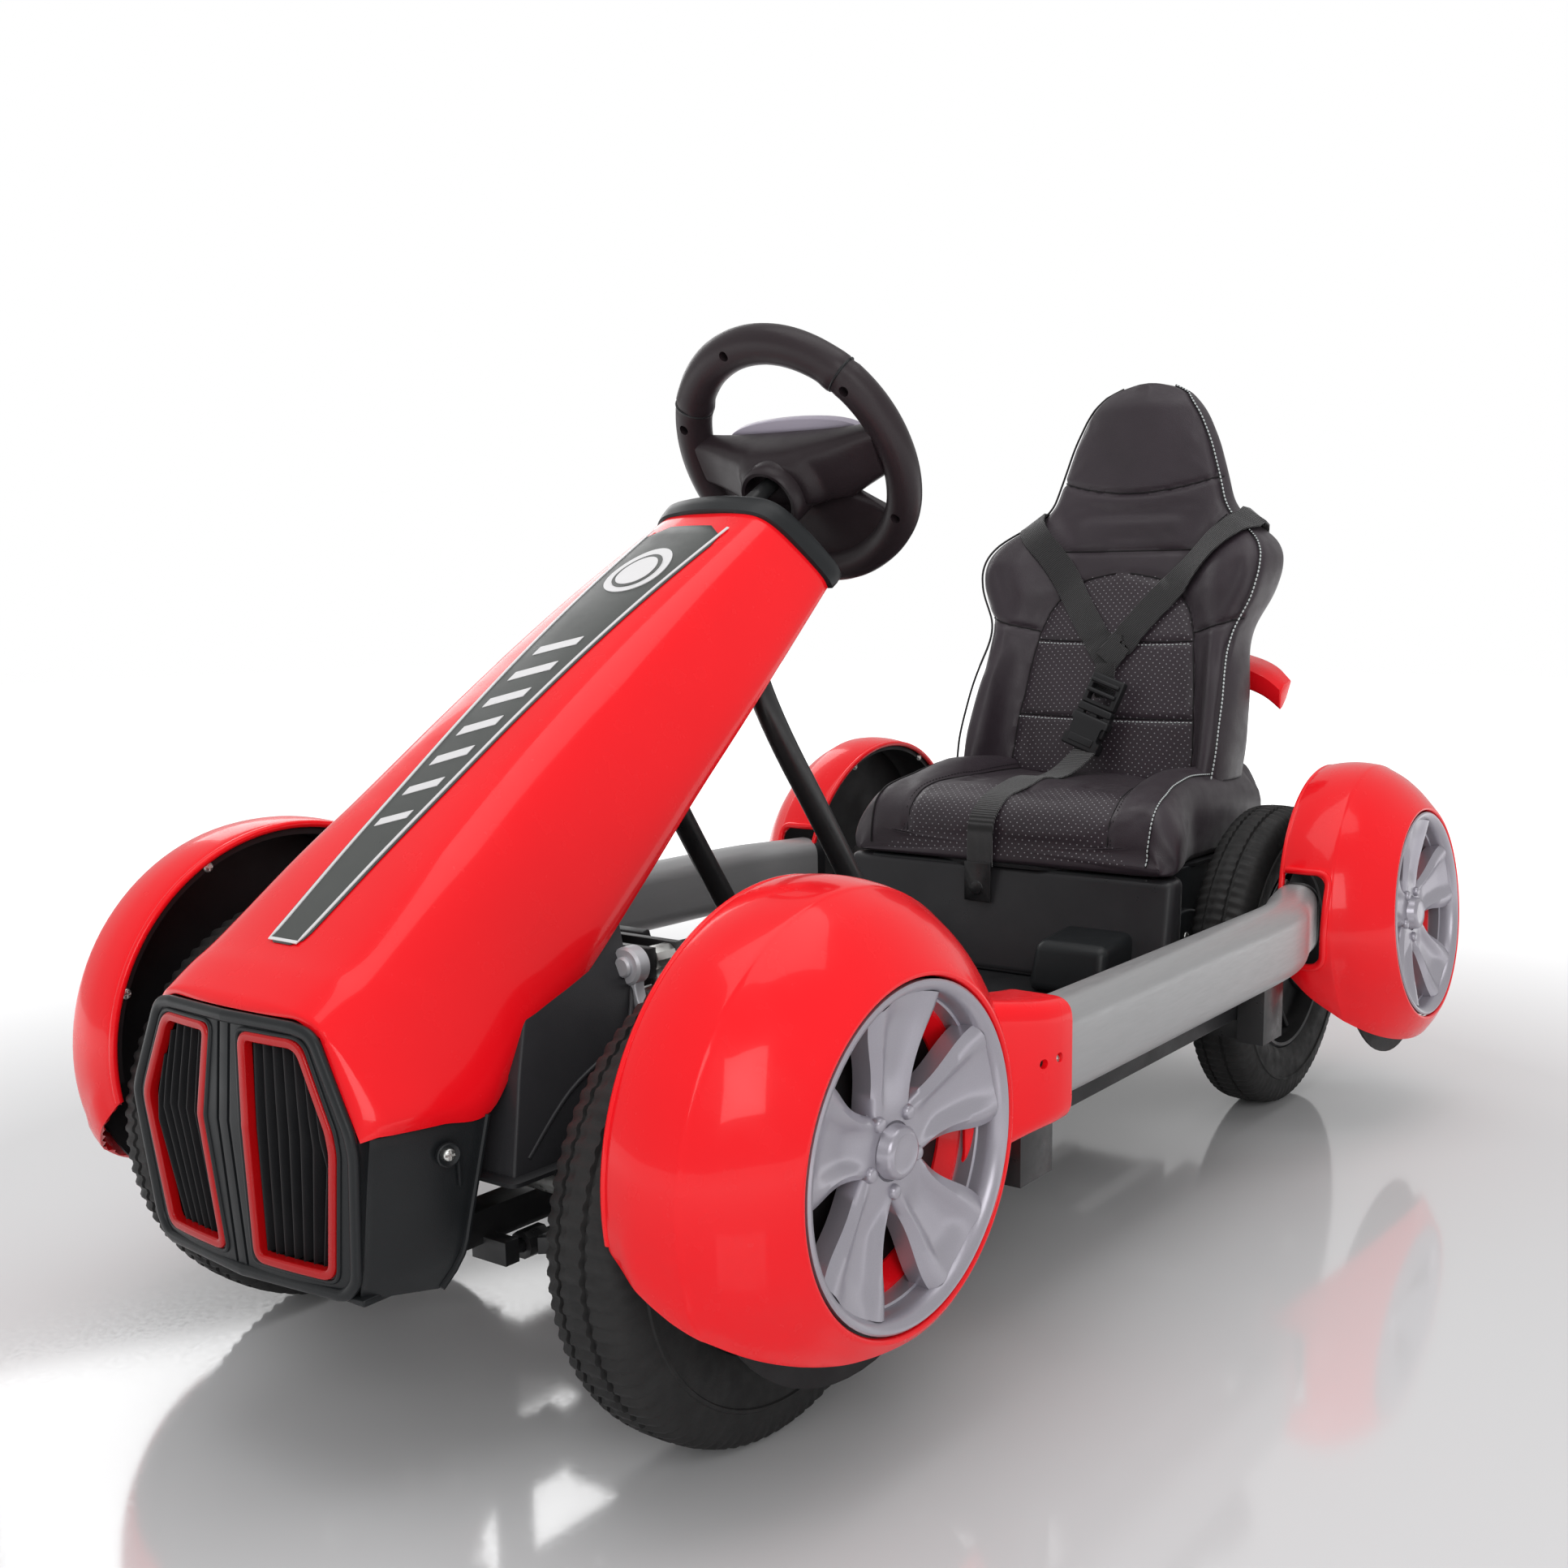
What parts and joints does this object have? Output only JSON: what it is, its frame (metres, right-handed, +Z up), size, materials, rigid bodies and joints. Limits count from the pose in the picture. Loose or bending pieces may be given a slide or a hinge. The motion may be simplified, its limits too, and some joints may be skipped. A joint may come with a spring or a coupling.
{
  "type": "kart chassis",
  "caption": "Child's electric ride-on go-kart with tubular chassis, wedge nose cowl, round wheel pods, sprung front axle, bucket seat with harness and steering wheel.",
  "frame": {"origin": "on the ground, under the middle of the kart's bounding box", "axes": "+Z up, the kart drives towards -Y, its left side is +X"},
  "size_m": [0.6966, 1.1189, 0.685],
  "materials": {
    "red_gloss": "high gloss injection-moulded body panels",
    "black_plastic": "satin moulded black plastic",
    "frame_steel": "black powder coat",
    "bar_silver": "silver paint, satin",
    "cap_silver": "metallic silver plastic",
    "tyre_rubber": "matte, moulded tread",
    "wheel_plastic": "moulded black rim",
    "zinc_steel": "zinc plated",
    "leatherette": "fine-grain black leatherette with white stitching",
    "webbing": "woven black webbing",
    "spring_red": "red painted coil",
    "wheel_pad": "satin grey"
  },
  "bodies": {
    "root": {"battery": "black_plastic", "bumper_shell": "black_plastic", "column_hoop": "frame_steel", "cowl_collar": "black_plastic", "crotch_strap": "webbing", "floor_pan": "black_plastic", "front_cap_left": "cap_silver", "front_cap_right": "cap_silver", "front_inner_cover": "black_plastic", "front_pod_left": "red_gloss", "front_pod_right": "red_gloss", "gearbox_left": "black_plastic", "gearbox_right": "black_plastic", "grille_insert": "black_plastic", "grille_trim_left": "red_gloss", "grille_trim_right": "red_gloss", "harness_buckle": "black_plastic", "main_frame": "frame_steel", "nose_cowl": "red_gloss", "rear_axle": "zinc_steel", "rear_cap_left": "cap_silver", "rear_cap_right": "cap_silver", "rear_fairing": "red_gloss", "rear_pod_left": "red_gloss", "rear_pod_right": "red_gloss", "seat_back": "leatherette", "seat_base": "black_plastic", "seat_cushion": "leatherette", "shoulder_strap_left": "webbing", "shoulder_strap_right": "webbing", "side_bar_left": "bar_silver", "side_bar_right": "bar_silver", "strap_anchor": "frame_steel", "under_tray": "black_plastic"},
    "steering": {"steering_wheel": "black_plastic", "steering_column": "frame_steel"},
    "horn": {"horn_button": "wheel_pad"},
    "lower_shaft": {"lower_steering_shaft": "frame_steel"},
    "switch": {"direction_switch": "black_plastic"},
    "pedal": {"accelerator_pedal": "black_plastic"},
    "arm_left": {"lower_arm_left": "frame_steel"},
    "knuckle_left": {"knuckle_left": "zinc_steel"},
    "tie_left": {"tie_rod_left": "zinc_steel"},
    "shock_left": {"shock_body_left": "zinc_steel", "shock_spring_left": "spring_red"},
    "shock_rod_left": {"shock_rod_left": "zinc_steel"},
    "front_wheel_left": {"front_tyre_left": "tyre_rubber", "front_rim_left": "wheel_plastic"},
    "rear_wheel_left": {"rear_tyre_left": "tyre_rubber", "rear_rim_left": "wheel_plastic"},
    "arm_right": {"lower_arm_right": "frame_steel"},
    "knuckle_right": {"knuckle_right": "zinc_steel"},
    "tie_right": {"tie_rod_right": "zinc_steel"},
    "shock_right": {"shock_body_right": "zinc_steel", "shock_spring_right": "spring_red"},
    "shock_rod_right": {"shock_rod_right": "zinc_steel"},
    "front_wheel_right": {"front_tyre_right": "tyre_rubber", "front_rim_right": "wheel_plastic"},
    "rear_wheel_right": {"rear_tyre_right": "tyre_rubber", "rear_rim_right": "wheel_plastic"}
  },
  "joints": [
    {"name": "steer", "type": "hinge", "parent": "root", "child": "steering", "pos_m": [0, -0.046, 0.572], "axis": [0, -0.8572, -0.515], "range_deg": [-28, 28]},
    {"name": "horn_press", "type": "slide", "parent": "steering", "child": "horn", "axis": [0, -0.8572, -0.515], "range_m": [0, 0.0015], "stiffness_N_per_m": 1500, "springref_m": -0.002},
    {"name": "shaft_turn", "type": "hinge", "parent": "root", "child": "lower_shaft", "pos_m": [0, -0.14715, 0.51123], "axis": [0, -0.5548, -0.832], "range_deg": [-28, 28]},
    {"name": "direction_rock", "type": "hinge", "parent": "root", "child": "switch", "pos_m": [-0.0175, -0.09107, 0.50369], "axis": [1, 0, 0], "range_deg": [-9, 9]},
    {"name": "pedal_press", "type": "hinge", "parent": "root", "child": "pedal", "pos_m": [-0.115, -0.105, 0.1463], "axis": [1, 0, 0], "range_deg": [0, 14], "stiffness_Nm_per_rad": 1.2, "springref_deg": -14.32},
    {"name": "arm_left", "type": "hinge", "parent": "root", "child": "arm_left", "pos_m": [0.072, -0.34, 0.106], "axis": [0, -1, 0], "range_deg": [0, 5], "stiffness_Nm_per_rad": 60, "springref_deg": -17.19},
    {"name": "kingpin_left", "type": "hinge", "parent": "arm_left", "child": "knuckle_left", "pos_m": [0.14, -0.34, 0.14], "axis": [0, 0, 1], "range_deg": [-10.5, 10.5]},
    {"name": "tie_left", "type": "hinge", "parent": "knuckle_left", "child": "tie_left", "pos_m": [0.14, -0.395, 0.15], "axis": [0, 0, 1], "range_deg": [-10.5, 10.5]},
    {"name": "shock_tilt_left", "type": "hinge", "parent": "root", "child": "shock_left", "pos_m": [0.1, -0.316, 0.262], "axis": [0, 1, 0], "range_deg": [-2, 2]},
    {"name": "shock_travel_left", "type": "slide", "parent": "shock_left", "child": "shock_rod_left", "axis": [-0.1152, 0, 0.9933], "range_m": [0, 0.006], "deforming": ["shock_spring_left"]},
    {"name": "front_spin_left", "type": "hinge", "parent": "knuckle_left", "child": "front_wheel_left", "pos_m": [0.185, -0.34, 0.14], "axis": [1, 0, 0], "continuous": true},
    {"name": "rear_spin_left", "type": "hinge", "parent": "root", "child": "rear_wheel_left", "pos_m": [0.189, 0.42, 0.14], "axis": [1, 0, 0], "continuous": true},
    {"name": "arm_right", "type": "hinge", "parent": "root", "child": "arm_right", "pos_m": [-0.072, -0.34, 0.106], "axis": [0, 1, 0], "range_deg": [0, 5], "stiffness_Nm_per_rad": 60, "springref_deg": -17.19},
    {"name": "kingpin_right", "type": "hinge", "parent": "arm_right", "child": "knuckle_right", "pos_m": [-0.14, -0.34, 0.14], "axis": [0, 0, 1], "range_deg": [-10.5, 10.5]},
    {"name": "tie_right", "type": "hinge", "parent": "knuckle_right", "child": "tie_right", "pos_m": [-0.14, -0.395, 0.15], "axis": [0, 0, 1], "range_deg": [-10.5, 10.5]},
    {"name": "shock_tilt_right", "type": "hinge", "parent": "root", "child": "shock_right", "pos_m": [-0.1, -0.316, 0.262], "axis": [0, 1, 0], "range_deg": [-2, 2]},
    {"name": "shock_travel_right", "type": "slide", "parent": "shock_right", "child": "shock_rod_right", "axis": [0.1152, 0, 0.9933], "range_m": [0, 0.006], "deforming": ["shock_spring_right"]},
    {"name": "front_spin_right", "type": "hinge", "parent": "knuckle_right", "child": "front_wheel_right", "pos_m": [-0.185, -0.34, 0.14], "axis": [1, 0, 0], "continuous": true},
    {"name": "rear_spin_right", "type": "hinge", "parent": "root", "child": "rear_wheel_right", "pos_m": [-0.189, 0.42, 0.14], "axis": [1, 0, 0], "continuous": true}
  ],
  "couplings": [
    {"joint": "shaft_turn", "follows": "steer", "ratio": 1},
    {"joint": "kingpin_left", "follows": "steer", "ratio": -0.36},
    {"joint": "tie_left", "follows": "steer", "ratio": 0.36},
    {"joint": "shock_tilt_left", "follows": "arm_left", "ratio": 0.09223},
    {"joint": "shock_travel_left", "follows": "arm_left", "m_per_rad": 0.04578},
    {"joint": "kingpin_right", "follows": "steer", "ratio": -0.36},
    {"joint": "tie_right", "follows": "steer", "ratio": 0.36},
    {"joint": "shock_tilt_right", "follows": "arm_right", "ratio": -0.09223},
    {"joint": "shock_travel_right", "follows": "arm_right", "m_per_rad": 0.04578}
  ]
}
